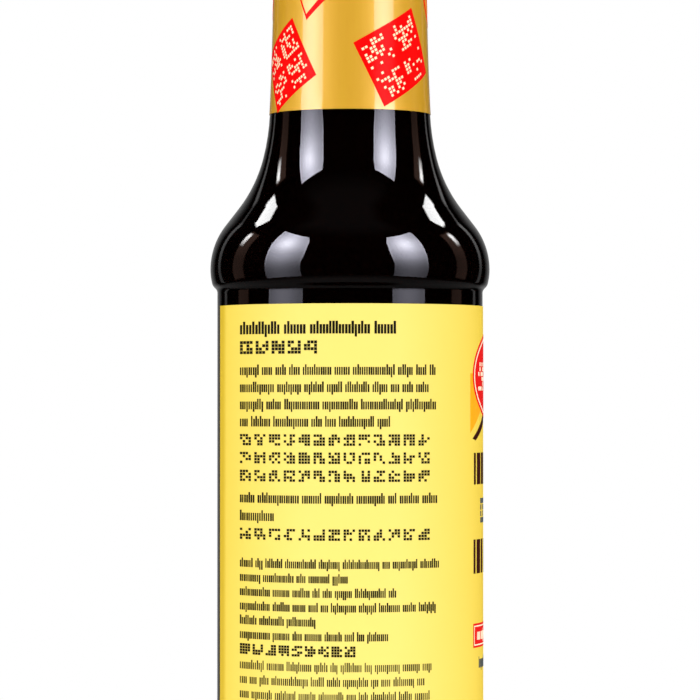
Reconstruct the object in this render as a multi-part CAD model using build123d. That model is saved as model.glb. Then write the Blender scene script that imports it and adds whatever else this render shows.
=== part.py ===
from build123d import *
from math import acos, cos, degrees, radians, sin
import os

# A 500 ml soy sauce bottle, in millimetres. The origin is the centre of the base and +Z runs
# up the bottle's axis. -Y faces the small print on the back of the wrap-round label, and +X
# faces the label's front panel.

# Overall
total_height = 265.0
cap_height = 22.0  # the turning cap together with the tamper band below it

# Glass, outside. An arc is its radius and its turn in degrees.
neck_radius = 18.55
neck_flare = (900.0, 2.7)
neck_to_shoulder = (54.0, 11.6)
shoulder_hollow = (34.0, 23.4)
shoulder_crown_radius = 17.3
band_radius = 34.0  # the contact bands at the shoulder and the heel
band_side = (14.0, 14.0)
band_edge_radius = 2.0
recess_depth = 1.7  # from the bands in to the panel that carries the label
step_slope = 45.0  # from vertical, between a band and the recess
step_fillet = 1.5
heel_band_height = 5.0
heel_radius = 7.0
bearing_width = 2.5  # the flat ring that the bottle stands on
punt_height = 4.0

# Glass, inside
wall = 3.2
floor_thickness = 4.5
inner_heel_radius = 8.0
inner_curve_radius = 10.0  # the inside follows the recess and the mouth in slow curves

# Finish, the part of the glass that the cap covers
finish_inset = 1.05  # the ledge between the neck and the finish
finish_wall = 2.6
finish_fillet = 0.7

# Contents
fill_below_rim = 37.0
sauce_gap = 0.05  # between the sauce and the glass

# Label and neck foil
glue_gap = 0.02
paper_thickness = 0.1
label_margin = 3.3  # bare glass in the recess, above and below the label
label_start = -166.5  # degrees about Z from +X
label_sweep = 338.0
foil_thickness = 0.08
foil_height = 41.5
foil_below_cap = 1.0

# Cap and tamper band
cap_clearance = 0.3
cap_wall = 1.6
cap_top_thickness = 2.5
cap_edge_fillet = 1.3
cap_rim_width = 2.8  # the raised rim round the top of the cap
cap_recess_depth = 0.6
band_height = 4.0
band_slit = 0.5  # between the cap and the tamper band
band_lift = 0.2  # between the tamper band and the neck's ledge
band_chamfer = 0.3
grip_count = 60
grip_radius = 0.55
grip_margin = 2.2  # plain cap at each end of the grip flutes

# Places that follow from these sizes
panel_radius = band_radius - recess_depth
neck_top = total_height - cap_height
rim = total_height - cap_top_thickness
fill_level = rim - fill_below_rim
foil_top = neck_top - foil_below_cap
finish_radius = neck_radius - finish_inset
mouth_radius = finish_radius - finish_wall
cap_inner_radius = finish_radius + cap_clearance
cap_radius = cap_inner_radius + cap_wall
band_bottom = neck_top + band_lift
cap_bottom = band_bottom + band_height + band_slit
down = Vector(0, -1)


def sideways(radius, first_angle, last_angle):
    """How far an arc moves sideways between two headings, in degrees from vertical."""
    return radius * abs(cos(radians(first_angle)) - cos(radians(last_angle)))


def run(start, heading, moves):
    """Edges joined end to end. A move is (length,), or (radius, turn) for a tangent arc."""
    edges = []
    for move in moves:
        if len(move) == 1:
            edge = PolarLine(start, move[0], direction=heading)
        else:
            edge = JernArc(start, heading, move[0], move[1])
        edges.append(edge)
        start, heading = edge @ 1, edge % 1
    return edges


def drop(moves):
    """The height of a run of moves that sets off straight down."""
    return -(run(Vector(0, 0), down, moves)[-1] @ 1).Y


def shoulder_moves(grow):
    """From the top of the neck to the widest line of the shoulder, grown outwards."""
    angle = 0.0
    reached = neck_radius
    flares = []
    for radius, turn in (neck_flare, neck_to_shoulder, shoulder_hollow):
        reached += sideways(radius, angle, angle + turn)
        angle += turn
        flares.append((radius - grow, turn))
    crown = sideways(shoulder_crown_radius, angle, 0)
    straight = (band_radius - crown - reached) / sin(radians(angle))
    return [*flares, (straight,), (shoulder_crown_radius + grow, -angle)]


def step_moves():
    """From the widest line of a band, in to the recess."""
    side_radius, side_turn = band_side
    used = sideways(side_radius, 0, side_turn)
    used += sideways(band_edge_radius, side_turn, step_slope)
    used += sideways(step_fillet, step_slope, 0)
    slant = (recess_depth - used) / sin(radians(step_slope))
    edge = (band_edge_radius, side_turn - step_slope)
    return [(side_radius, -side_turn), edge, (slant,), (step_fillet, step_slope)]


def slow_curve(shift, grow):
    """A double curve that moves a wall outwards by a shift, or inwards by a negative one."""
    turn = degrees(acos(1 - abs(shift) / 2 / inner_curve_radius))
    side = 1 if shift > 0 else -1
    first = (inner_curve_radius - side * grow, side * turn)
    return [first, (inner_curve_radius + side * grow, -side * turn)]


# Heights that follow from the outline
shoulder_line = neck_top - drop(shoulder_moves(0))  # where the shoulder is widest
panel_top = shoulder_line - drop(step_moves())
heel_line = heel_radius + heel_band_height
panel_bottom = heel_line + drop(step_moves())
label_bottom = panel_bottom + label_margin
label_height = panel_top - label_margin - label_bottom


def half_section(edges, dome_height):
    """The face between a run of edges and the axis, with a dome below it."""
    top = edges[0] @ 0
    dome = TangentArc(Vector(0, dome_height), edges[-1] @ 1, tangent=Vector(1, 0))
    axis = Line(Vector(0, dome_height), Vector(0, top.Y))
    return make_face([*edges, dome, axis, Line(Vector(0, top.Y), top)])


def box_section(inner_radius, outer_radius, bottom, top):
    """A rectangle of the half section, from its radii and its heights."""
    lower_corner = (Align.MIN, Align.MIN)
    return Pos(inner_radius, bottom) * Rectangle(
        outer_radius - inner_radius, top - bottom, align=lower_corner
    )


def outside_section():
    """The outside of the bottle up to the top of the neck, filled in to the axis."""
    moves = [*shoulder_moves(0), *step_moves(), (panel_top - panel_bottom,)]
    moves += [*step_moves()[::-1], (heel_band_height,), (heel_radius, -90), (bearing_width,)]
    return half_section(run(Vector(neck_radius, neck_top), down, moves), punt_height)


def cavity_section(gap):
    """The space inside the glass, kept clear of it by a gap."""
    mouth = slow_curve(neck_radius - wall - mouth_radius, -gap)
    step_in = slow_curve(-recess_depth, -gap)
    step_out = slow_curve(recess_depth, -gap)
    side_end = floor_thickness + inner_heel_radius
    side = shoulder_line - side_end - drop(step_in) - drop(step_out)
    moves = [(rim - neck_top - drop(mouth),), *mouth, *shoulder_moves(-wall - gap)]
    moves += [*step_in, (side,), *step_out, (inner_heel_radius - gap, -90)]
    edges = run(Vector(mouth_radius - gap, rim), down, moves)
    return half_section(edges, punt_height + floor_thickness + gap)


def neck_ribbon(inner_grow, outer_grow):
    """A thin layer that follows the neck and the shoulder."""
    inner = run(Vector(neck_radius + inner_grow, neck_top), down, shoulder_moves(inner_grow))
    outer = run(Vector(neck_radius + outer_grow, neck_top), down, shoulder_moves(outer_grow))
    top = Line(inner[0] @ 0, outer[0] @ 0)
    return make_face([*inner, *outer, top, Line(inner[-1] @ 1, outer[-1] @ 1)])


def turned(section, sweep=360.0):
    """The solid that a half section makes round the bottle's axis."""
    return revolve(Plane.XZ * section, Axis.Z, sweep)


# Glass bottle
finish = box_section(0, finish_radius, shoulder_line, rim)
finish_corner = finish.vertices().sort_by(Axis.X)[-2:].sort_by(Axis.Y)[-1]
glass_section = outside_section() + fillet(finish_corner, finish_fillet)
glass_bottle = turned(glass_section - cavity_section(0))

# Soy sauce
above_sauce = box_section(0, band_radius, fill_level, rim + cap_height)
soy_sauce = turned(cavity_section(sauce_gap) - above_sauce)

# Wrap-round label
label_inner_radius = panel_radius + glue_gap
label_section = box_section(
    label_inner_radius,
    label_inner_radius + paper_thickness,
    label_bottom,
    label_bottom + label_height,
)
paper_label = Rot(Z=label_start) * turned(label_section, label_sweep)

# Neck foil
foil_band = box_section(0, band_radius, foil_top - foil_height, foil_top)
neck_foil = turned(neck_ribbon(glue_gap, glue_gap + foil_thickness) & foil_band)

# Screw cap
cap_section = box_section(0, cap_radius, cap_bottom, total_height)
cap_corner = cap_section.vertices().sort_by(Axis.X)[-2:].sort_by(Axis.Y)[-1]
cap_section = fillet(cap_corner, cap_edge_fillet)
cap_section -= box_section(0, cap_inner_radius, shoulder_line, rim)
cap_section -= box_section(
    0, cap_radius - cap_rim_width, total_height - cap_recess_depth, total_height + cap_height
)
grip_height = total_height - cap_bottom - 2 * grip_margin
grip = Pos(cap_radius, 0, cap_bottom + grip_margin) * Cylinder(
    grip_radius, grip_height, align=(Align.CENTER, Align.CENTER, Align.MIN)
)
screw_cap = turned(cap_section) - PolarLocations(0, grip_count) * grip

# Tamper band
band_section = box_section(cap_inner_radius, cap_radius, band_bottom, band_bottom + band_height)
band_corners = band_section.vertices().sort_by(Axis.X)[-2:]
tamper_band = turned(chamfer(band_corners, band_chamfer))

os.makedirs("parts", exist_ok=True)
export_step(glass_bottle, "parts/glass_bottle.step")
export_step(soy_sauce, "parts/soy_sauce.step")
export_step(paper_label, "parts/paper_label.step")
export_step(neck_foil, "parts/neck_foil.step")
export_step(screw_cap, "parts/screw_cap.step")
export_step(tamper_band, "parts/tamper_band.step")
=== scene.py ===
import math
import random

import bmesh
import bpy
from mathutils import Matrix, Vector, noise


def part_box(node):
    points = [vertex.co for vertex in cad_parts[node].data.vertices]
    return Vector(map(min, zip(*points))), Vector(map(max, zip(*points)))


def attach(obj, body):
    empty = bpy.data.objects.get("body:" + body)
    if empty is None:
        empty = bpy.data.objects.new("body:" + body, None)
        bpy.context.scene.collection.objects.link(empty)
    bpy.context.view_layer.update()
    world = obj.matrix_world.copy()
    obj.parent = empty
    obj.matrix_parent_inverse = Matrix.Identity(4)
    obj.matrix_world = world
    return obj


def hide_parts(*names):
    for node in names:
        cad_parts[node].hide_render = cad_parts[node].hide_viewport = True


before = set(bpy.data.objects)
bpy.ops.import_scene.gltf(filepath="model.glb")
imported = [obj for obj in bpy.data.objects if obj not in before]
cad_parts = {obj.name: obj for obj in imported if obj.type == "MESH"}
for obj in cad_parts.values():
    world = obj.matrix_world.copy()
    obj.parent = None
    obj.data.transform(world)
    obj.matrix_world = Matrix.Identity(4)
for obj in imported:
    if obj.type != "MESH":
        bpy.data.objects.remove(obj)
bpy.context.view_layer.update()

mm = 0.001
toDegrees = 180 / math.pi


def inMm(*values):
    return [value * mm for value in values]


# The bottle stands on z = 0 with its axis up Z. A facing angle is in degrees round that axis:
# 0 faces -Y, where the small print is, and 90 faces +X, where the label's front panel is.
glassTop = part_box("glass_bottle")[1]
labelLow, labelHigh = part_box("paper_label")
foilLow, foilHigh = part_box("neck_foil")
capLow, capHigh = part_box("screw_cap")
ringLow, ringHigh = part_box("tamper_band")


def paint(red, green, blue):
    # a colour picked from 0 to 255, as the linear values that a socket takes
    def linear(value):
        value /= 255
        return value / 12.92 if value <= 0.04045 else ((value + 0.055) / 1.055) ** 2.4
    return (linear(red), linear(green), linear(blue), 1.0)


class Wire:
    # a socket that takes part in sums
    def __init__(self, tree, socket):
        self.tree = tree
        self.socket = socket

    def math(self, operation, *others, clamp=False):
        values = dict(enumerate((self, *others)))
        return self.tree.add("ShaderNodeMath", {"operation": operation, "use_clamp": clamp}, values)

    def __add__(self, other):
        return self.math("ADD", other)

    def __sub__(self, other):
        return self.math("SUBTRACT", other)

    def __rsub__(self, other):
        return (self * -1) + other

    def __mul__(self, other):
        return self.math("MULTIPLY", other)

    def __truediv__(self, other):
        return self.math("DIVIDE", other)

    __radd__ = __add__
    __rmul__ = __mul__

    def size(self):
        return self.math("ABSOLUTE")

    def rising(self, start, end):
        # 0 up to start, 1 from end, and a straight ramp between them
        return ((self - start) / (end - start)).math("ADD", 0.0, clamp=True)


class Tree:
    def __init__(self, owner):
        owner.use_nodes = True
        self.nodes = owner.node_tree.nodes
        self.links = owner.node_tree.links
        self.nodes.clear()

    def add(self, kind, settings=None, sockets=None, out=0):
        # interpolation and stops, as (place, colour), belong to a colour ramp
        node = self.nodes.new(kind)
        for name, value in (settings or {}).items():
            if name == "interpolation":
                node.color_ramp.interpolation = value
            elif name == "stops":
                while len(node.color_ramp.elements) < len(value):
                    node.color_ramp.elements.new(1.0)
                for stop, (place, colour) in zip(node.color_ramp.elements, value):
                    stop.position = place
                    stop.color = colour
            else:
                setattr(node, name, value)
        for name, value in (sockets or {}).items():
            if isinstance(value, Wire):
                self.links.new(value.socket, node.inputs[name])
            else:
                node.inputs[name].default_value = value
        return Wire(self, node.outputs[out]) if node.outputs else node

    def place(self, scale=(1, 1, 1)):
        coordinates = self.add("ShaderNodeTexCoord", out=3)
        return self.add("ShaderNodeMapping", None, {"Vector": coordinates, "Scale": scale})

    def axes(self, vector):
        split = self.add("ShaderNodeSeparateXYZ", None, {"Vector": vector})
        node = split.socket.node
        return [Wire(self, output) for output in node.outputs]

    def noise(self, scale, vector, detail=3.0, roughness=0.5):
        sockets = {"Vector": vector, "Scale": scale, "Detail": detail, "Roughness": roughness}
        return self.add("ShaderNodeTexNoise", None, sockets)

    def tint(self, factor, first, second):
        sockets = {0: factor, 6: first, 7: second}
        return self.add("ShaderNodeMix", {"data_type": "RGBA"}, sockets, out=2)

    def bump(self, height, strength, distance):
        sockets = {"Height": height, "Strength": strength, "Distance": distance}
        return self.add("ShaderNodeBump", None, sockets)

    def finish(self, sockets):
        shader = self.add("ShaderNodeBsdfPrincipled", None, sockets)
        self.add("ShaderNodeOutputMaterial", None, {"Surface": shader})


def newMaterial(name):
    material = bpy.data.materials.new(name)
    return material, Tree(material)


def facingOf(x, y):
    return x.math("ARCTAN2", y * -1) * toDegrees


def clearGlass():
    material, tree = newMaterial("clearGlass")
    ripple = tree.noise(55.0, tree.place((1, 1, 0.35)), 2.0)
    y = tree.axes(tree.place())[1]
    # the parting line of the mould, down both sides
    seam = (1 - (y.size() / glass["seam"]).math("MINIMUM", 1.0)) * 0.25
    tree.finish({
        "Base Color": (1, 1, 1, 1),
        "Roughness": ripple * 0.012,
        "IOR": 1.5,
        "Transmission Weight": 1.0,
        "Coat Weight": 1.0,
        "Coat Roughness": 0.0,
        "Coat IOR": 1.6,
        "Normal": tree.bump(ripple + seam, 0.12, 0.1 * mm),
    })
    return material


def darkSauce():
    material, tree = newMaterial("darkSauce")
    cloud = tree.noise(40.0, tree.place(), 2.0)
    tree.finish({
        "Base Color": tree.tint(cloud, *sauce["colours"]),
        "Roughness": 0.5,
        "Specular IOR Level": 0.0,
    })
    return material


def labelStock():
    material, tree = newMaterial("labelStock")
    place = tree.place()
    x, y = tree.axes(place)[:2]
    fibre = tree.noise(2600.0, place, 4.0, 0.6)
    cloud = tree.noise(45.0, tree.place((1, 1, 0.4)), 2.0)
    facing = facingOf(x, y)
    # a painted sheen: the paper is painted paler round the panel of small print and deeper yellow
    # further round
    away = (facing.size() + cloud * label["cloud"]).rising(*label["sheenFadeTo"])
    ground = tree.tint(away, label["pale"], label["deep"])
    # painted shade: a darker strip runs up the edge where the label starts
    inwards = (facing - label["startFacing"]).size()
    edgeShade = inwards.rising(label["edgeShade"], label["edgeShade"] + label["edgeShadeFade"])
    tree.finish({
        "Base Color": tree.tint(edgeShade, label["edgeShadeColour"], ground),
        "Roughness": 0.48 + fibre * 0.08,
        "Specular IOR Level": 0.3,
        "Normal": tree.bump(fibre, 0.08, 0.05 * mm),
    })
    return material


def goldFoil():
    material, tree = newMaterial("goldFoil")
    place = tree.place()
    grain = tree.noise(700.0, tree.place((1, 1, 0.08)), 4.0, 0.6)
    crease = tree.noise(230.0, place, 3.0, 0.55)
    # a clear coat over yellow stands in for thin printed metal
    tree.finish({
        "Base Color": tree.tint(grain, *foil["colours"]),
        "Metallic": 0.2,
        "Roughness": 0.4 + grain * 0.12,
        "IOR": 2.0,
        "Specular IOR Level": 1.0,
        "Specular Tint": (1.0, 0.9, 0.5, 1.0),
        "Coat Weight": 1.0,
        "Coat Roughness": 0.06,
        "Coat IOR": 2.1,
        "Normal": tree.bump(crease + grain * 0.3, 0.12, 0.12 * mm),
    })
    return material


def printInk(name, colour, deeper, roughness=0.5, specular=0.12):
    material, tree = newMaterial(name)
    speckle = tree.noise(1800.0, tree.place(), 3.0)
    tree.finish({
        "Base Color": tree.tint(speckle, colour, deeper),
        "Roughness": roughness + speckle * 0.08,
        "Specular IOR Level": specular,
    })
    return material


def capPlastic():
    material, tree = newMaterial("capPlastic")
    grain = tree.noise(1500.0, tree.place(), 3.0)
    cloud = tree.noise(90.0, tree.place(), 2.0)
    tree.finish({
        "Base Color": tree.tint(cloud, *cap["colours"]),
        "Roughness": 0.3 + grain * 0.1,
        "Normal": tree.bump(grain, 0.1, 0.05 * mm),
    })
    return material


arc = {"degrees": 3, "length": 3 * mm}  # the longest step along an arc
straight = {"long": 2 * mm, "guard": 0.4 * mm}  # points near a long side's ends keep it looking flat


def walk(start, moves, heading=0.0):
    # points of an outline in (radius, height). It sets off straight down, and a positive
    # heading leans outwards. A move is (length,), or (radius, turn) for an arc.
    points = [Vector(start)]
    for move in moves:
        corner = points[-1]
        first = math.radians(heading)
        if len(move) == 1:
            length, = move
            guard = straight["guard"]
            stops = [guard, length - guard, length] if length > straight["long"] else [length]
            lean = Vector((math.sin(first), -math.cos(first)))
            points += [corner + lean * stop for stop in stops]
            continue
        radius, turn = move
        heading += turn
        if not radius:
            continue
        steps = math.ceil(math.radians(abs(turn)) * radius / arc["length"])
        steps = max(1, math.ceil(abs(turn) / arc["degrees"]), steps)
        bend = math.copysign(radius, turn)
        for step in range(1, steps + 1):
            angle = first + math.radians(turn) * step / steps
            out = bend * (math.cos(first) - math.cos(angle))
            down = bend * (math.sin(angle) - math.sin(first))
            points.append(corner + Vector((out, -down)))
    return points


def sideways(radius, first, last):
    return radius * abs(math.cos(math.radians(first)) - math.cos(math.radians(last)))


def spun(points, steps=256, sweep=360.0, start=0.0, closed=False):
    bm = bmesh.new()
    verts = [bm.verts.new((radius, 0, height)) for radius, height in points]
    loop = list(zip(verts, verts[1:]))
    if closed:
        loop.append((verts[-1], verts[0]))
    edges = [bm.edges.new(pair) for pair in loop]
    bmesh.ops.rotate(bm, verts=verts, matrix=Matrix.Rotation(math.radians(start), 3, "Z"))
    full = sweep == 360.0
    bmesh.ops.spin(
        bm, geom=verts + edges, axis=(0, 0, 1), cent=(0, 0, 0),
        angle=math.radians(sweep), steps=steps, use_merge=full,
    )
    bmesh.ops.remove_doubles(bm, verts=bm.verts, dist=0.002 * mm)
    if not full:
        bmesh.ops.holes_fill(bm, edges=bm.edges, sides=0)
    bmesh.ops.recalc_face_normals(bm, faces=bm.faces)
    return bm


def newObject(name, data):
    thing = bpy.data.objects.new(name, data)
    bpy.context.scene.collection.objects.link(thing)
    return thing


def addPiece(bm, name, material, sharp=35.0, replaces=()):
    for face in bm.faces:
        face.smooth = True
    for edge in bm.edges:
        if len(edge.link_faces) == 2 and edge.calc_face_angle() > math.radians(sharp):
            edge.smooth = False
    mesh = bpy.data.meshes.new(name)
    bm.to_mesh(mesh)
    bm.free()
    piece = newObject(name, mesh)
    mesh.materials.append(material)
    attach(piece, "root")
    if replaces:
        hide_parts(*replaces)
    print(name, len(mesh.polygons), "faces")


def liftFaces(bm, faces, depth):
    lifted = bmesh.ops.extrude_face_region(bm, geom=faces)["geom"]
    moved = [part for part in lifted if isinstance(part, bmesh.types.BMVert)]
    bmesh.ops.translate(bm, verts=moved, vec=(0, depth, 0))


def addPlate(bm, corners, depth):
    # a flat shape drawn in (across, height), made solid outwards from the surface
    verts = [bm.verts.new((across, 0, height)) for across, height in corners]
    liftFaces(bm, [bm.faces.new(verts)], depth)


def addRing(bm, outer, inner, depth):
    # the flat band between two outlines that have as many corners each
    edges = []
    for corners in (outer, inner):
        loop = [bm.verts.new((across, 0, height)) for across, height in corners]
        edges += [bm.edges.new(pair) for pair in zip(loop, loop[1:] + loop[:1])]
    liftFaces(bm, bmesh.ops.bridge_loops(bm, edges=edges)["faces"], depth)


def addBlock(bm, across, height, wide, tall, depth):
    # a small solid block with its lower left corner at (across, height)
    middle = Vector((across + wide / 2, depth / 2, height + tall / 2))
    scale = Matrix.Diagonal((wide, depth, tall, 1))
    bmesh.ops.create_cube(bm, size=1.0, matrix=Matrix.Translation(middle) @ scale)


def turnedSquare(side, turn):
    reach = side / math.sqrt(2)
    angles = [math.radians(turn + 45 + 90 * quarter) for quarter in range(4)]
    return [(reach * math.cos(angle), reach * math.sin(angle)) for angle in angles]


def rectangle(centre, halfWide, halfTall):
    signs = ((-1, -1), (1, -1), (1, 1), (-1, 1))
    return [(centre[0] + across * halfWide, centre[1] + up * halfTall) for across, up in signs]


def oval(centre, halfWide, halfTall, count=48):
    corners = []
    for step in range(count):
        angle = 2 * math.pi * step / count
        place = (centre[0] + halfWide * math.cos(angle), centre[1] + halfTall * math.sin(angle))
        corners.append(place)
    return corners


def sliceUp(bm, axis, pitch):
    spread = [vert.co.dot(axis) for vert in bm.verts]
    cut = math.ceil(min(spread) / pitch) * pitch
    while cut < max(spread):
        everything = bm.verts[:] + bm.edges[:] + bm.faces[:]
        bmesh.ops.bisect_plane(bm, geom=everything, dist=1e-7, plane_co=axis * cut, plane_no=axis)
        cut += pitch


def wrapRound(bm, surface, facing, flat=False, pitch=None, rise=None):
    # bends flat shapes round the bottle; flat ones keep their width as seen from the front
    if pitch:
        sliceUp(bm, Vector((1, 0, 0)), pitch)
    if rise:
        sliceUp(bm, Vector((0, 0, 1)), rise)
    for vert in bm.verts:
        across, depth, height = vert.co
        radius = surface(height)
        angle = math.asin(across / radius) if flat else across / radius
        angle += math.radians(facing)
        reach = surface(height, angle) + depth
        vert.co = (reach * math.sin(angle), -reach * math.cos(angle), height)
    bmesh.ops.recalc_face_normals(bm, faces=bm.faces)


glass = {
    "neckFlare": (900 * mm, 2.7), "neckToShoulder": (54 * mm, 11.6),  # radius, turn
    "shoulderHollow": (34 * mm, 23.4),
    "neckRadius": 18.55 * mm, "crownRadius": 17.3 * mm, "bandSide": (14 * mm, 14.0),
    "bandEdge": 2.0 * mm, "recess": 1.7 * mm, "stepSlope": 45.0, "stepFillet": 1.5 * mm,
    "heelBand": 5.0 * mm, "heelRadius": 7.0 * mm, "bearing": 2.5 * mm, "punt": 4.0 * mm,
    "wall": 3.2 * mm, "floor": 4.5 * mm, "innerHeel": 8.0 * mm, "innerCurve": 10.0 * mm,
    "ledge": 1.05 * mm, "finishWall": 2.6 * mm, "finishFillet": 0.7 * mm, "bandLift": 0.2 * mm,
    "seam": 0.16 * mm,
}
sauce = {
    "colours": (paint(4, 1, 1), paint(8, 2, 1)),
    "intoWall": 0.15 * mm, "steps": 192,
    # the surface climbs the glass: share of the radius, and of the meniscus below the level
    "meniscus": 1.1 * mm, "climb": ((0.0, 1.0), (0.8, 1.0), (0.92, 0.8), (1.0, 0.0)),
}

neckTop = ringLow.z - glass["bandLift"]
finishRadius = glass["neckRadius"] - glass["ledge"]
mouthRadius = finishRadius - glass["finishWall"]


def shoulderMoves(grow):
    angle = 0.0
    reached = glass["neckRadius"]
    flares = []
    for name in ("neckFlare", "neckToShoulder", "shoulderHollow"):
        radius, turn = glass[name]
        reached += sideways(radius, angle, angle + turn)
        angle += turn
        flares.append((radius - grow, turn))
    crown = sideways(glass["crownRadius"], angle, 0)
    slant = (glassTop.x - crown - reached) / math.sin(math.radians(angle))
    return [*flares, (slant,), (glass["crownRadius"] + grow, -angle)]


def stepMoves():
    radius, turn = glass["bandSide"]
    slope = glass["stepSlope"]
    used = sideways(radius, 0, turn) + sideways(glass["bandEdge"], turn, slope)
    used += sideways(glass["stepFillet"], slope, 0)
    slant = (glass["recess"] - used) / math.sin(math.radians(slope))
    bend = (glass["bandEdge"], turn - slope)
    return [(radius, -turn), bend, (slant,), (glass["stepFillet"], slope)]


def slowCurve(shift, grow):
    curve = glass["innerCurve"]
    turn = math.degrees(math.acos(1 - abs(shift) / 2 / curve))
    side = math.copysign(1, shift)
    return [(curve - side * grow, side * turn), (curve + side * grow, -side * turn)]


def fall(moves):
    return -walk((0, 0), moves)[-1].y


shoulderLine = neckTop - fall(shoulderMoves(0))
panelTop = shoulderLine - fall(stepMoves())
panelBottom = glass["heelRadius"] + glass["heelBand"] + fall(stepMoves())


def domeIn(ringRadius, rise):
    # from a level ring in and up to the axis
    turn = 2 * math.degrees(math.atan(rise / ringRadius))
    return [(0, -turn), (ringRadius / math.sin(math.radians(turn)), turn)]


def outsideOutline():
    fillet = glass["finishFillet"]
    ringRadius = glassTop.x - glass["heelRadius"] - glass["bearing"]
    moves = [(glass["finishWall"] - fillet,), (fillet, -90), (glassTop.z - neckTop - fillet,)]
    moves += [(0, 90), (glass["ledge"],), (0, -90), *shoulderMoves(0), *stepMoves()]
    moves += [(panelTop - panelBottom,), *stepMoves()[::-1], (glass["heelBand"],)]
    moves += [(glass["heelRadius"], -90), (glass["bearing"],), *domeIn(ringRadius, glass["punt"])]
    return walk((mouthRadius, glassTop.z), moves, heading=90.0)


def insideOutline(gap):
    mouth = slowCurve(glass["neckRadius"] - glass["wall"] - mouthRadius, -gap)
    stepIn, stepOut = slowCurve(-glass["recess"], -gap), slowCurve(glass["recess"], -gap)
    sideEnd = glass["floor"] + glass["innerHeel"]
    side = shoulderLine - sideEnd - fall(stepIn) - fall(stepOut)
    moves = [(glassTop.z - neckTop - fall(mouth),), *mouth, *shoulderMoves(-glass["wall"] - gap)]
    moves += [*stepIn, (side,), *stepOut, (glass["innerHeel"] - gap, -90)]
    floorRadius = glassTop.x - glass["wall"] - glass["innerHeel"]
    return walk((mouthRadius - gap, glassTop.z), moves + domeIn(floorRadius, glass["punt"]))


def makeGlass():
    outline = outsideOutline()[::-1] + insideOutline(0)[1:]
    outline[0].x = outline[-1].x = 0.0
    addPiece(spun(outline), "glassBottle", clearGlass(), 60.0, ["glass_bottle"])


def makeSauce():
    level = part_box("soy_sauce")[1].z
    wet = [point for point in insideOutline(-sauce["intoWall"]) if point.y < level]
    wet[-1].x = 0.0
    edge, drop = wet[0].x, sauce["meniscus"]
    surface = [Vector((edge * out, level - drop * down)) for out, down in sauce["climb"]]
    bm = spun(surface + wet, steps=sauce["steps"])
    addPiece(bm, "sauceBody", darkSauce(), 60.0, ["soy_sauce"])


label = {
    "startFacing": -75.4,  # the edge that shows at the left
    "sweep": 338.0,
    "paper": 0.1 * mm,
    "rows": 12, "steps": 240,
    # the first colour is the paper with a painted sheen on it, the second the paper's own deeper
    # yellow
    "pale": paint(247, 226, 117), "deep": paint(241, 206, 50), "edgeShadeColour": paint(220, 185, 36),
    # the third colour above and the last two values here paint shade in a strip up the edge where
    # the label starts
    "sheenFadeTo": (24.0, 92.0), "cloud": 8, "edgeShade": 5.2, "edgeShadeFade": 4.0,  # degrees
    "frontFacing": 92.5,
    "backFacing": 187.0,
    "sunk": 0.03 * mm,  # how far print reaches into what it is printed on
    "ink": 0.03 * mm,  # how far each layer of print stands proud
    "slice": 1.5 * mm,  # the widest flat part of print that is bent round
}


def onLabel(height, angle=None):
    # the label is a plain tube, so neither value changes it
    return labelHigh.x - label["sunk"]


def layer(count):
    return label["sunk"] + label["ink"] * count


def makeLabel():
    inner, low, high = labelHigh.x - label["paper"], labelLow.z, labelHigh.z
    rows = label["rows"]
    outline = []
    for radius, start, end in ((inner, low, high), (labelHigh.x, high, low)):
        outline += [Vector((radius, start + (end - start) * row / rows)) for row in range(rows + 1)]
    turn = label["startFacing"] - 90
    bm = spun(outline, steps=label["steps"], sweep=label["sweep"], start=turn, closed=True)
    addPiece(bm, "labelPaper", labelStock(), 40.0, ["paper_label"])


smallPrint = {
    "left": -26.2 * mm, "width": 46.6 * mm,
    # how much of their pitch the strokes take up, and the pitch as a share of the height
    "weights": {"bold": (0.72, 0.78), "plain": (0.62, 0.76), "light": (0.5, 0.62)},
    "pitches": {"bold": 0.25, "plain": 0.21, "light": 0.21},
    "strokes": (4, 5, 7, 9, 11, 13, 16, 19),  # how many a word may have
    # a random number above the first gives a stroke a tail, and one below the second makes it tall
    "tailAbove": 0.93, "tail": -0.24, "tallBelow": 0.17, "small": 0.74,
    "wordGap": 1.2, "rowEnd": 0.6,
    "heavy": {"gap": 1.2, "filled": 0.7, "dot": 0.86},
    # kind, first baseline below the label's top, height, pitch, share of the width in each row
    "rows": [
        ("bold", 7.1, 3.0, 0.0, [0.8]),
        ("heavy", 11.8, 3.2, 0.0, [0.4]),
        ("plain", 16.8, 2.5, 4.07, [1.0, 0.97, 1.0, 0.77]),
        ("dense", 33.5, 2.8, 4.25, [1.0, 1.0, 1.0]),
        ("plain", 47.1, 2.5, 4.25, [1.02, 0.21]),
        ("dense", 55.8, 2.8, 0.0, [1.0]),
        ("plain", 62.4, 2.2, 3.4, [1.02, 0.56, 0.8, 1.0, 0.39, 0.79]),
        ("heavy", 83.1, 2.6, 0.0, [0.61]),
        ("light", 86.6, 2.2, 3.45, [0.98, 0.98, 0.97, 0.88, 1.0, 0.45]),
        ("dense", 108.2, 2.5, 3.9, [1.0, 1.0, 0.52]),
    ],
}


def addWords(bm, rng, left, baseline, width, tall, count=1, kind="plain"):
    # a row of short upright strokes, in groups as long as words
    pitch = tall * smallPrint["pitches"][kind]
    across = left
    while across < left + width - tall * smallPrint["rowEnd"]:
        for stroke in range(rng.choice(smallPrint["strokes"])):
            wide = pitch * rng.choice(smallPrint["weights"][kind])
            if across > left + width - wide:
                break
            shape = rng.random()
            low = smallPrint["tail"] if shape > smallPrint["tailAbove"] else 0.0
            high = 1.0 if shape < smallPrint["tallBelow"] else smallPrint["small"]
            addBlock(bm, across, baseline + low * tall, wide, (high - low) * tall, layer(count))
            across += pitch
        across += pitch * smallPrint["wordGap"]


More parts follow.
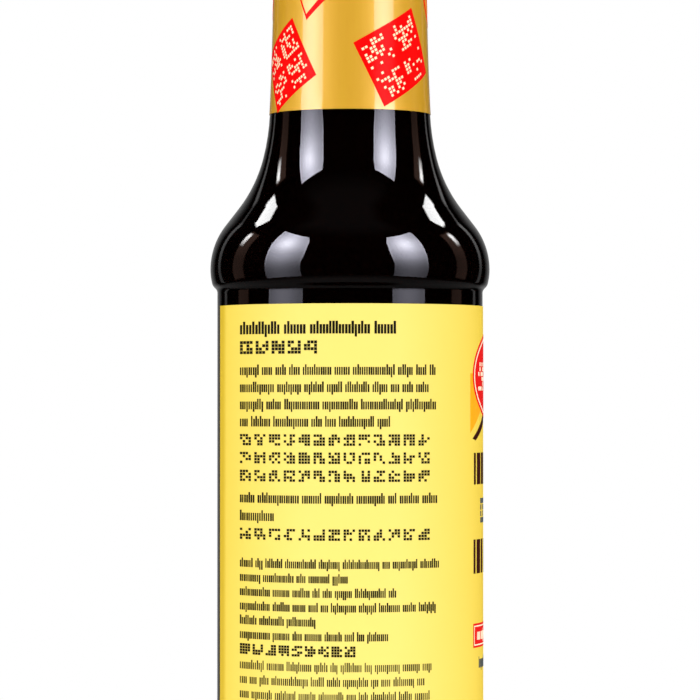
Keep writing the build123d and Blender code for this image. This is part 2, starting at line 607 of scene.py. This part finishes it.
def addMark(bm, rng, left, baseline, tall, count=1, cells=4, filled=0.66, dot=0.83):
    # a small square mark: dots taken at random from a grid
    pitch = tall / cells
    for column in range(cells):
        for line in range(cells):
            if rng.random() < filled:
                place = (left + column * pitch, baseline + line * pitch)
                addBlock(bm, *place, pitch * dot, pitch * dot, layer(count))


def addMarks(bm, rng, left, baseline, width, tall, count=1, gap=1.26, **look):
    across = left
    while across < left + width - tall * 0.9:
        addMark(bm, rng, across, baseline, tall, count, **look)
        across += tall * gap


def makeSmallPrint():
    bm = bmesh.new()
    rng = random.Random(7)
    for kind, first, tall, pitch, shares in smallPrint["rows"]:
        for row, share in enumerate(shares):
            place = (smallPrint["left"], labelHigh.z - (first + pitch * row) * mm)
            width = smallPrint["width"] * share
            if kind == "dense":
                addMarks(bm, rng, *place, width, tall * mm)
            elif kind == "heavy":
                addMarks(bm, rng, *place, width, tall * mm, **smallPrint["heavy"])
            else:
                addWords(bm, rng, *place, width, tall * mm, kind=kind)
    wrapRound(bm, onLabel, 0.0, flat=True)
    addPiece(bm, "smallPrint", inks["black"], 40.0)


front = {
    # height of the middle, half width, half height
    "badge": (136.8, 15.4, 10.3), "strap": (74.4, 15.1, 2.9), "bowl": (46.0, 15.0, 9.0),
    # the pale rims on the badge and the strap, as how far in they start and end
    "badgeRim": (0.8, 1.3), "strapRim": (0.5, 0.8),
    "badgeMarks": (-11.5, -3.5, 4.5), "markDrop": 3.5, "markTall": 7.0,
    "markLook": {"cells": 6, "filled": 0.5},
    "ribbon": (-16.75, 123.1, 137.4),  # outer end, foot, top
    # its lower edge, as a share of the way out and a height above the foot
    "tail": ((1.0, 0.0), (0.45, 6.5), (0.0, 9.0)),
    # the dark fold below it: two corners from the outer end, then a share with two heights
    "foldOuter": ((1.2, -1.4), (3.4, -1.8)), "foldInner": (0.25, 2.6, 5.2),
    "titles": ((110.7, 7.6, 14.65), (89.3, 8.2, 14.9)),  # foot, height, half width
    "firstBlock": 1.3, "blocks": (2.4, 2.8, 3.2), "gaps": (0.8, 0.8, 0.8, 2.0),
    # rows of print: left, baseline, width, height
    "subtitle": (-9.4, 101.4, 19.5, 6.2), "strapWords": (-12.5, 73.3, 25.5, 2.6),
    "footWords": (-11.0, 66.5, 22.0, 2.8),
    # what each oval of the bowl takes up of its half width and half height
    "bowlOvals": (("brown", 1.0, 1.0), ("pale", 0.95, 0.93), ("brown", 0.76, 0.72)),
    "bean": (1.9, 1.3), "beanCorners": 20,
    "beans": (
        (-12.0, -11.4), (-7.8, -12.6), (8.4, -12.2),
        (12.4, -11.0), (-9.6, -15.4), (10.6, -15.0),
    ),
    "corners": 64,
}


def addRibbon(sheets):
    left, foot, top = inMm(*front["ribbon"])
    tail = [(left * share, foot + up * mm) for share, up in front["tail"]]
    tail += [(0.0, top), (left, top)]
    fold = [(left + across * mm, foot + up * mm) for across, up in front["foldOuter"]]
    share, *heights = front["foldInner"]
    fold += [(left * share, foot + up * mm) for up in heights]
    for side in (-1, 1):
        for sheet, shape in (("gold", tail), ("brown", fold)):
            corners = [(across * side * -1, height) for across, height in shape]
            addPlate(sheets[sheet], corners, layer(1))


def addRimmed(sheets, name, outline, count):
    # a red shape with a pale line just inside its edge
    middle, halfWide, halfTall = inMm(*front[name])
    centre = (0.0, middle)
    addPlate(sheets["red"], outline(centre, halfWide, halfTall), layer(count))
    insets = inMm(*front[name + "Rim"])
    rims = [outline(centre, halfWide - inset, halfTall - inset) for inset in insets]
    addRing(sheets["pale"], *rims, layer(count + 1))


def addTitle(bm, rng, foot, tall, halfWide):
    # a heading of solid blocks
    across = -halfWide
    while across < halfWide - 1.0:
        wide = front["firstBlock"]
        if across > -halfWide:
            wide = min(rng.choice(front["blocks"]), halfWide - across)
        addBlock(bm, *inMm(across, foot, wide, tall), layer(1))
        across += wide + rng.choice(front["gaps"])


def makeFrontPanel():
    rng = random.Random(11)
    sheets = {name: bmesh.new() for name in ("gold", "brown", "red", "pale", "grey")}

    def smooth(centre, halfWide, halfTall):
        return oval(centre, halfWide, halfTall, front["corners"])

    addRibbon(sheets)
    addRimmed(sheets, "badge", smooth, 2)
    foot = (front["badge"][0] - front["markDrop"]) * mm
    for across in front["badgeMarks"]:
        place = (across * mm, foot, front["markTall"] * mm)
        addMark(sheets["pale"], rng, *place, 3, **front["markLook"])
    for title in front["titles"]:
        addTitle(sheets["brown"], rng, *title)
    addMarks(sheets["grey"], rng, *inMm(*front["subtitle"]))
    addRimmed(sheets, "strap", rectangle, 1)
    addWords(sheets["pale"], rng, *inMm(*front["strapWords"]), 2)
    addWords(sheets["grey"], rng, *inMm(*front["footWords"]))
    # a bowl seen from above, with beans beside it
    middle, halfWide, halfTall = inMm(*front["bowl"])
    for count, (sheet, wide, tall) in enumerate(front["bowlOvals"], 1):
        part = smooth((0.0, middle), halfWide * wide, halfTall * tall)
        addPlate(sheets[sheet], part, layer(count))
    for across, up in front["beans"]:
        bean = oval((across * mm, middle + up * mm), *inMm(*front["bean"]), front["beanCorners"])
        addPlate(sheets["gold"], bean, layer(1))
    for name, bm in sheets.items():
        wrapRound(bm, onLabel, label["frontFacing"], pitch=label["slice"])
        addPiece(bm, f"frontPanel{name.capitalize()}", inks[name], 40.0)


back = {
    "left": -24.0 * mm, "width": 44.0 * mm,
    "title": (142.0, 3.0), "titleShare": 0.7,  # baseline and height, share of the width
    # first line, pitch, rows, and how far below its line a row's print stands
    "table": (137.8, 4.6, 8, 3.4), "rule": 0.25 * mm, "inset": 0.6 * mm,
    # widths as shares of the panel's width: the first column's range, then start and width
    "firstColumn": (0.3, 0.5), "columns": ((0.68, 0.14), (0.86, 0.13)), "tall": 2.4 * mm,
    # first baseline, pitch, height, and share of the width in each row
    "marks": (93.5, 4.0, 2.6, (0.98, 0.98, 0.98, 0.98, 0.4)),
    "words": (70.0, 3.5, 2.2, (1.0, 1.0, 1.0, 1.0, 0.5)),
    "bars": (-21.0, 8.0, 28.0, 15.0),  # left, right, foot, height
    "field": (-6.0, 17.0, 1.5),  # the pale ground under the bars: middle, half width, margin
    "barWidths": (0.3, 0.3, 0.6, 0.9), "barGaps": (0.3, 0.6, 0.9),
}


def addTable(bm, rng):
    left, width = back["left"], back["width"]
    first, pitch, rows, drop = back["table"]
    tall = back["tall"]
    for row in range(rows + 1):
        height = (first - row * pitch) * mm
        addBlock(bm, left, height, width, back["rule"], layer(1))
        if row < rows:
            foot = height - drop * mm
            share = rng.uniform(*back["firstColumn"])
            addWords(bm, rng, left + back["inset"], foot, width * share, tall)
            for start, share in back["columns"]:
                addWords(bm, rng, left + width * start, foot, width * share, tall)


def makeBackPanel():
    rng = random.Random(23)
    black, pale = bmesh.new(), bmesh.new()
    left, width = back["left"], back["width"]
    foot, tall = inMm(*back["title"])
    addWords(black, rng, left, foot, width * back["titleShare"], tall, kind="bold")
    addTable(black, rng)
    for name, add in (("marks", addMarks), ("words", addWords)):
        first, pitch, tall, shares = back[name]
        for row, share in enumerate(shares):
            add(black, rng, left, (first - row * pitch) * mm, width * share, tall * mm)
    across, end, foot, tall = inMm(*back["bars"])
    middle, halfWide, margin = inMm(*back["field"])
    addPlate(pale, rectangle((middle, foot + tall / 2), halfWide, tall / 2 + margin), layer(1))
    while across < end:
        wide = rng.choice(back["barWidths"]) * mm
        addBlock(black, across, foot, wide, tall, layer(2))
        across += wide + rng.choice(back["barGaps"]) * mm
    for name, bm in (("Black", black), ("Pale", pale)):
        wrapRound(bm, onLabel, label["backFacing"], pitch=label["slice"])
        addPiece(bm, f"backPanel{name}", inks[name.lower()], 40.0)


foil = {
    "colours": (paint(253, 193, 34), paint(248, 180, 25)),
    "glue": 0.02 * mm, "thickness": 0.08 * mm, "crinkle": 0.14 * mm, "crinkled": 3.5 * mm,
    "rows": 40, "steps": 320, "ripples": 9.0, "upright": 60,
    "slice": 0.9 * mm, "rise": 1.6 * mm,  # the widest and tallest flat part of print on it
    # facing, height of the middle, side, turn, how wide it is drawn and how much it leans
    "squares": (
        (37.8, 213.3, 17.7, 31.0, 1.0, 0.12), (-55.0, 211.6, 16.5, 31.0, 0.9, 0.0),
        (128.0, 212.6, 16.6, 30.0, 1.0, 0.06), (-147.0, 212.6, 16.6, 30.0, 1.0, 0.06),
    ),
    "marks": (-0.44, 0.04), "markTall": 0.4,  # as shares of the square's side
    "markLook": {"cells": 8, "filled": 0.44, "dot": 0.7},
    "pennants": ((-33.5, 222.1), (152.0, 222.1)),  # facing, foot
    "pennantOuter": ((0.0, 0.0), (8.4, 7.9), (4.2, 16.4), (-5.2, 12.8)),
    "pennantInner": ((-0.1, 1.4), (6.4, 8.1), (3.7, 15.8), (-4.8, 12.5)),
    "discs": ((100.0, 230.4), (-112.0, 230.4)),  # facing, height of the middle
    # outer and inner half width of both rings, and how much less tall they are drawn
    "discRims": ((9.9, 9.1), (6.6, 6.1)), "discFlat": 0.8,
}
neckOutline = walk((glass["neckRadius"], neckTop), shoulderMoves(0))


def neckRadiusAt(height):
    for upper, lower in zip(neckOutline, neckOutline[1:]):
        if lower.y <= height <= upper.y:
            share = (upper.y - height) / max(upper.y - lower.y, 1e-9)
            return upper.x + (lower.x - upper.x) * share
    return glass["neckRadius"]


def foilSurface(height, angle=None):
    # the lower edge of the foil is lightly crinkled
    radius = neckRadiusAt(height) + foil["glue"] + foil["thickness"]
    if angle is None:
        return radius
    share = max(0.0, 1 - (height - foilLow.z) / foil["crinkled"])
    place = Vector((math.sin(angle), math.cos(angle), height * foil["upright"]))
    ripple = noise.noise(place * foil["ripples"])
    return radius + foil["crinkle"] * share * max(0.0, ripple + 0.1)


def onFoil(height, angle=None):
    return foilSurface(height, angle) - label["sunk"]


def makeFoil():
    rows = foil["rows"]
    outline = []
    for inwards, low, high in ((1, foilLow.z, foilHigh.z), (0, foilHigh.z, foilLow.z)):
        for row in range(rows + 1):
            height = low + (high - low) * row / rows
            outline.append(Vector((foilSurface(height) - foil["thickness"] * inwards, height)))
    bm = spun(outline, steps=foil["steps"], closed=True)
    for vert in bm.verts:
        angle = math.atan2(vert.co.x, -vert.co.y)
        radius = vert.co.xy.length
        vert.co.xy *= (radius + foilSurface(vert.co.z, angle) - foilSurface(vert.co.z)) / radius
    addPiece(bm, "neckFoil", goldFoil(), 40.0, ["neck_foil"])


def addFoilPrint(name, ink, facing, shapes):
    # a shape is (outline, layer) for a plate or (outer, inner, layer) for a ring
    bm = bmesh.new()
    for *outlines, count in shapes:
        if len(outlines) == 1:
            addPlate(bm, outlines[0], layer(count))
        else:
            addRing(bm, *outlines, layer(count))
    wrapRound(bm, onFoil, facing, pitch=foil["slice"], rise=foil["rise"])
    addPiece(bm, name, inks[ink], 40.0)


def addSquare(number, rng, facing, height, side, turn, wide, lean):
    def drawn(across, up):
        return across * wide + up * lean, up + height * mm

    square = [drawn(*corner) for corner in turnedSquare(side * mm, turn)]
    addFoilPrint(f"foilSquare{number}", "lacquer", facing, [(square, 1)])
    marks = bmesh.new()
    for across in foil["marks"]:
        for up in foil["marks"]:
            place = (side * across * mm, side * up * mm)
            addMark(marks, rng, *place, side * foil["markTall"] * mm, 2, **foil["markLook"])
    turned = Matrix.Rotation(math.radians(-turn), 3, "Y")
    bmesh.ops.rotate(marks, verts=marks.verts, matrix=turned)
    for vert in marks.verts:
        vert.co.x, vert.co.z = drawn(vert.co.x, vert.co.z)
    wrapRound(marks, onFoil, facing)
    addPiece(marks, f"foilMarks{number}", inks["cream"], 40.0)


def makeFoilPrint():
    rng = random.Random(5)
    for number, square in enumerate(foil["squares"], 1):
        addSquare(number, rng, *square)
    for number, (facing, foot) in enumerate(foil["pennants"], 1):
        edges = []
        for name in ("pennantOuter", "pennantInner"):
            edges.append([(across * mm, (foot + up) * mm) for across, up in foil[name]])
        addFoilPrint(f"foilPennant{number}", "lacquer", facing, [(*edges, 1)])
    for number, (facing, height) in enumerate(foil["discs"], 1):
        def flattened(reach):
            return oval((0.0, height * mm), *inMm(reach, reach - foil["discFlat"]))
        rings = [[flattened(reach) for reach in reaches] for reaches in foil["discRims"]]
        addFoilPrint(f"foilDisc{number}", "orange", facing, [(rings[0][0], 1)])
        addFoilPrint(f"foilRing{number}", "lacquer", facing, [(*ring, 2) for ring in rings])
    print("foil print done")


cap = {
    "colours": (paint(206, 22, 20), paint(190, 15, 16)),
    "wall": 1.6 * mm, "fillet": 1.3 * mm, "rim": 2.8 * mm, "recess": 0.6 * mm,
    "edge": 0.3 * mm,  # the small bevel on the lower edge and on the band
    "lip": (0.3 * mm, 0.1 * mm, 0.2 * mm),  # the step down to the recess: in, down, out
    "steps": 480, "margin": 2.2 * mm,
    "flutes": 60, "fluteDepth": 0.5 * mm, "fluteEnd": 0.8 * mm, "fluteCurve": 0.6,
    "bandSteps": 192, "bridges": 10,
    # the thin ties across the slit, which tear when the cap is first turned
    "tie": (0.9 * mm, 0.8 * mm), "tieOverlap": 0.2 * mm, "tieInset": 0.75 * mm,
}


def makeCap():
    outer, inner, edge = capHigh.x, capHigh.x - cap["wall"], cap["edge"]
    top, bottom, fillet = capHigh.z, capLow.z, cap["fillet"]
    gripTop, gripBottom = top - cap["margin"], bottom + cap["margin"]
    rim, end = outer - cap["rim"], cap["fluteEnd"]
    lipIn, lipDown, lipOut = cap["lip"]
    points = [(0, top - cap["recess"]), (rim - lipIn, top - cap["recess"])]
    points += [(rim, top - lipDown), (rim + lipOut, top)]
    points += walk((outer - fillet, top), [(fillet, -90)], heading=90.0)
    side = [gripTop, gripTop - end / 2, gripTop - end, (gripTop + gripBottom) / 2]
    side += [gripBottom + end, gripBottom + end / 2, gripBottom, bottom + edge]
    points += [(outer, height) for height in side]
    points += [(outer - edge, bottom), (inner, bottom), (inner, glassTop.z), (0, glassTop.z)]
    bm = spun(points, steps=cap["steps"])
    slack = 0.01 * mm
    for vert in bm.verts:
        radius = vert.co.xy.length
        if radius > outer - slack and gripBottom - slack < vert.co.z < gripTop + slack:
            ends = min(gripTop - vert.co.z, vert.co.z - gripBottom) / end
            angle = math.atan2(vert.co.y, vert.co.x)
            dip = max(0.0, math.cos(angle * cap["flutes"])) ** cap["fluteCurve"]
            dip *= cap["fluteDepth"] * min(1.0, ends)
            vert.co.xy *= (radius - dip) / radius
    bmesh.ops.recalc_face_normals(bm, faces=bm.faces)
    addPiece(bm, "screwCap", plastic, 30.0, ["screw_cap"])


def makeTamperBand():
    outer, inner, edge = ringHigh.x, ringHigh.x - cap["wall"], cap["edge"]
    low, high = ringLow.z, ringHigh.z
    points = [(inner, low), (outer - edge, low), (outer, low + edge)]
    points += [(outer, high - edge), (outer - edge, high), (inner, high)]
    bm = spun(points, steps=cap["bandSteps"], closed=True)
    tall = capLow.z - high + cap["tieOverlap"]
    for bridge in range(cap["bridges"]):
        tie = bmesh.ops.create_cube(bm, size=1.0)["verts"]
        bmesh.ops.scale(bm, verts=tie, vec=(*cap["tie"], tall))
        place = (0, -outer + cap["tieInset"], (capLow.z + high) / 2)
        bmesh.ops.translate(bm, verts=tie, vec=place)
        turned = Matrix.Rotation(2 * math.pi * bridge / cap["bridges"], 3, "Z")
        bmesh.ops.rotate(bm, verts=tie, cent=(0, 0, 0), matrix=turned)
    bmesh.ops.recalc_face_normals(bm, faces=bm.faces)
    addPiece(bm, "tamperBand", plastic, 30.0, ["tamper_band"])


studio = {
    # facing, half width, brightest facing and how far up the ramp each softbox sits, in degrees
    "boxes": ((-56.4, 17.9, -59.5, 0.0), (50.9, 16.7, 51.0, 2.5)),
    "boxLow": -18.0, "boxHigh": 45.9, "boxSlant": 0.13,
    "lean": (20, 0.06),  # the lift from which the outer edge leans out, and by how much
    "cut": (36, 0.42), "foot": (19, 5, 2.6),  # the inner edge's cut corner and its narrower foot
    "edge": (-0.4, 0.5), "lifted": (8, 14),
    # how bright a softbox looks at each height above the horizon
    "boxRamp": (
        (-18, 0.53), (-9, 0.67), (-3, 0.86), (2, 1.2), (6, 1.6), (11, 2.55), (16, 3.4), (21, 4.4),
        (26, 5.9), (31, 6.7), (36, 6.8), (41, 6.4), (46, 5.4), (50, 4.8),
    ),
    "rampTop": 12,
    "fallOff": 14.0, "fallShare": 0.55, "rim": (2.2, 0.6, 1.0), "rimLift": (0, 20),
    "glow": (2.6, 32.5, 8.5, 7.5),  # the white middle: strength, lift, and spread across and up
    # facing, half width, foot, top and how soft the edges are; then the strength, what is
    # added to it with lift, and between which lifts
    "haze": (-8, 66, 56, 96, 9.0), "hazePower": 0.018,
    "warmStrip": (105.5, 7, -12, 36, 1.0), "warmPower": (0.09, 0.1, 10, 30),
    "flame": (110.5, 2.5, 22, 34.0, 1.2), "flamePower": (1.2, 4.6, 22, 30),
    "panel": (122.3, 5.6, 40, 60, 0.8), "panelPower": 5.6,
    "stand": (136.5, 2.6, -14, 30, 1.2), "standLean": 0.16,
    "standPower": (0.1, 0.2, 0, 25), "standUneven": 0.07,
    # the faint ground and the far panels: middle lift, where they start to fade and end, strength
    "ground": (-45, 20, 28, 0.05), "farPanels": (2, 16, 28, 0.26), "farFacing": (148, 176),
    # for red, green and blue: the tint of the softboxes and of the warm strips
    "tints": ((0.97, 1.2), (0.96, 0.7), (1.14, 0.55)),
    "ambient": 0.53,
    # name, facing, lift, width, height, power
    "lamps": (
        ("softbox", -56.4, 24.0, 0.6, 0.9, 4.7), ("softbox", 50.9, 24.0, 0.6, 0.9, 4.7),
        ("backBox", 180.0, 24.0, 0.9, 0.9, 4.4), ("topBox", 0.0, 89.0, 1.2, 1.2, 4.0),
    ),
    "lampDistance": 1.0, "aim": 0.13,
    "lens": 190.3, "distance": 0.9016, "eye": 0.131, "tilt": 0.774,
    "floor": 0.6, "floorFade": (0.25, 0.96),
    "floorColours": (paint(246, 246, 246), paint(242, 242, 243)),
}


def makeWorld():
    world = bpy.data.worlds.new("studio")
    bpy.context.scene.world = world
    tree = Tree(world)
    x, y, z = tree.axes(tree.add("ShaderNodeTexCoord"))
    turn = facingOf(x, y)
    lift = z.math("ARCSINE") * toDegrees
    ramp = studio["boxRamp"]
    low, high, rampTop = ramp[0][0], ramp[-1][0], studio["rampTop"]
    stops = [((place - low) / (high - low), (*[power / rampTop] * 3, 1)) for place, power in ramp]

    def spread(value, middle, width):
        return ((value - middle) / width).math("POWER", 2.0)

    def patch(name, side=1, slant=0.0):
        facing, half, foot, top, soft = studio[name]
        middle = lift * (side * slant) + side * facing if slant else side * facing
        across = (half - (turn - middle).size()).rising(-soft, soft)
        return across * (lift - foot).rising(-soft, soft) * (top - lift).rising(-soft, soft)

    def band(name):
        middle, start, end, strength = studio[name]
        return (1 - (lift - middle).size().rising(start, end)) * strength

    def powerOf(name, uneven=0.0):
        base, more, start, end = studio[name]
        return base + lift.rising(start, end) * (more + uneven)

    def softbox(facing, half, hot, rise):
        # towards the front the upper corner is cut off and the foot is narrower
        outwards = (turn - facing) * math.copysign(1, facing)
        leanFrom, leanBy = studio["lean"]
        cutFrom, cutBy = studio["cut"]
        footFrom, footTo, footBy = studio["foot"]
        lean = (lift - leanFrom).math("MAXIMUM", 0.0) * leanBy
        cut = (lift - cutFrom).math("MAXIMUM", 0.0) * cutBy + lift.rising(footFrom, footTo) * footBy
        edge = (half + outwards - cut).math("MINIMUM", half - outwards + lean)
        head = studio["boxHigh"] + outwards * studio["boxSlant"] - lift
        edge = edge.math("MINIMUM", lift - studio["boxLow"]).math("MINIMUM", head)
        mask = edge.rising(*studio["edge"])
        settings = {"interpolation": "B_SPLINE", "stops": stops}
        higher = (lift + lift.rising(*studio["lifted"]) * rise).rising(low, high)
        power = tree.add("ShaderNodeValToRGB", settings, {"Fac": higher}) * rampTop
        across = (spread(turn, hot, studio["fallOff"]) * -1).math("EXPONENT")
        power = power * (across * studio["fallShare"] + (1 - studio["fallShare"]))
        *rimEdge, rimPower = studio["rim"]
        power = power + edge.rising(*rimEdge) * lift.rising(*studio["rimLift"]) * rimPower
        strength, glowLift, glowWide, glowTall = studio["glow"]
        far = spread(turn, hot, glowWide) + spread(lift, glowLift, glowTall)
        return power * mask, (far * -1).math("EXPONENT") * mask * strength

    # what the room around adds: a faint ground, far panels, a haze, and edges of stands
    room = band("ground") + turn.size().rising(*studio["farFacing"]) * band("farPanels")
    room = room + patch("haze") * studio["hazePower"]
    boxes = 0.0
    for box in studio["boxes"]:
        power, glow = softbox(*box)
        boxes = boxes + power
        room = room + glow
    warm = 0.0
    for side in (-1, 1):
        warm = warm + patch("warmStrip", side) * powerOf("warmPower")
        room = room + patch("flame", side) * powerOf("flamePower")
        room = room + patch("panel", side) * studio["panelPower"]
        stand = patch("stand", side, studio["standLean"])
        room = room + stand * powerOf("standPower", side * studio["standUneven"])
    path = tree.add("ShaderNodeLightPath")
    rays = {output.name: Wire(tree, output) for output in path.socket.node.outputs}
    clear = rays["Is Camera Ray"].math("MAXIMUM", rays["Is Transmission Ray"])
    glossy = rays["Is Glossy Ray"]
    shiny = (1 - clear) * glossy
    plain = clear + (1 - clear) * (1 - glossy) * studio["ambient"]
    shades = {}
    for axis, (cool, red) in zip("XYZ", studio["tints"]):
        shades[axis] = plain + shiny * (boxes * cool + warm * red + room)
    colour = tree.add("ShaderNodeCombineXYZ", None, shades)
    background = tree.add("ShaderNodeBackground", None, {"Color": colour, "Strength": 1.0})
    tree.add("ShaderNodeOutputWorld", None, {"Surface": background})


def addLamp(name, facing, lift, wide, tall, power):
    # seen by nothing shiny: the softboxes' reflections are in the world
    lamp = bpy.data.lights.new(name, "AREA")
    lamp.shape = "RECTANGLE"
    lamp.size, lamp.size_y = wide, tall
    lamp.energy = power
    piece = newObject(name, lamp)
    angle, rise = math.radians(facing), math.radians(lift)
    level = math.cos(rise)
    away = Vector((math.sin(angle) * level, -math.cos(angle) * level, math.sin(rise)))
    piece.location = Vector((0, 0, studio["aim"])) + away * studio["lampDistance"]
    piece.rotation_euler = away.to_track_quat("Z", "Y").to_euler()
    piece.visible_camera = False
    piece.visible_glossy = False


def makeFloor():
    material, tree = newMaterial("paleFloor")
    place = tree.place()
    mottle = tree.noise(30.0, place, 3.0)
    away = tree.add("ShaderNodeVectorMath", {"operation": "LENGTH"}, {0: place}, out=1)
    # towards its rim the floor passes into the white of the background
    fade = away.rising(*[studio["floor"] * share for share in studio["floorFade"]])
    ground = tree.tint(mottle, *studio["floorColours"])
    tree.finish({
        "Base Color": tree.tint(fade, ground, (0, 0, 0, 1)),
        "Roughness": 0.8,
        "Specular IOR Level": 0.0,
        "Emission Color": tree.tint(fade, (0.2, 0.2, 0.2, 1), (1, 1, 1, 1)),
        "Emission Strength": 1.0,
    })
    bm = bmesh.new()
    bmesh.ops.create_circle(bm, cap_ends=True, segments=96, radius=studio["floor"])
    mesh = bpy.data.meshes.new("floor")
    bm.to_mesh(mesh)
    bm.free()
    floor = newObject("floor", mesh)
    mesh.materials.append(material)
    floor.visible_glossy = False


def makeCamera():
    camera = newObject("camera", bpy.data.cameras.new("camera"))
    camera.data.lens = studio["lens"]
    camera.location = (0, -studio["distance"], studio["eye"])
    camera.rotation_euler = (math.radians(90 + studio["tilt"]), 0, 0)
    bpy.context.scene.camera = camera
    bpy.context.scene.view_settings.view_transform = "Standard"


def makeStudio():
    makeWorld()
    for lamp in studio["lamps"]:
        addLamp(*lamp)
    makeFloor()
    makeCamera()
    print("studio ready")


inks = {
    "black": printInk("blackInk", paint(16, 14, 6), paint(26, 22, 10)),
    "brown": printInk("brownInk", paint(64, 18, 12), paint(52, 14, 10)),
    "red": printInk("redInk", paint(240, 8, 8), paint(228, 6, 6)),
    "gold": printInk("goldInk", paint(252, 158, 8), paint(250, 180, 10)),
    "pale": printInk("paleInk", paint(255, 244, 214), paint(250, 236, 200)),
    "grey": printInk("greyInk", paint(84, 92, 96), paint(70, 78, 84)),
    "lacquer": printInk("redLacquer", paint(248, 6, 6), paint(238, 4, 4), 0.16, 0.12),
    "cream": printInk("creamLacquer", paint(255, 240, 205), paint(252, 230, 180), 0.2, 0.3),
    "orange": printInk("orangeLacquer", paint(246, 150, 24), paint(240, 134, 16), 0.2, 0.3),
}
plastic = capPlastic()
makeGlass()
makeSauce()
makeLabel()
makeSmallPrint()
makeFrontPanel()
makeBackPanel()
makeFoil()
makeFoilPrint()
makeCap()
makeTamperBand()
makeStudio()
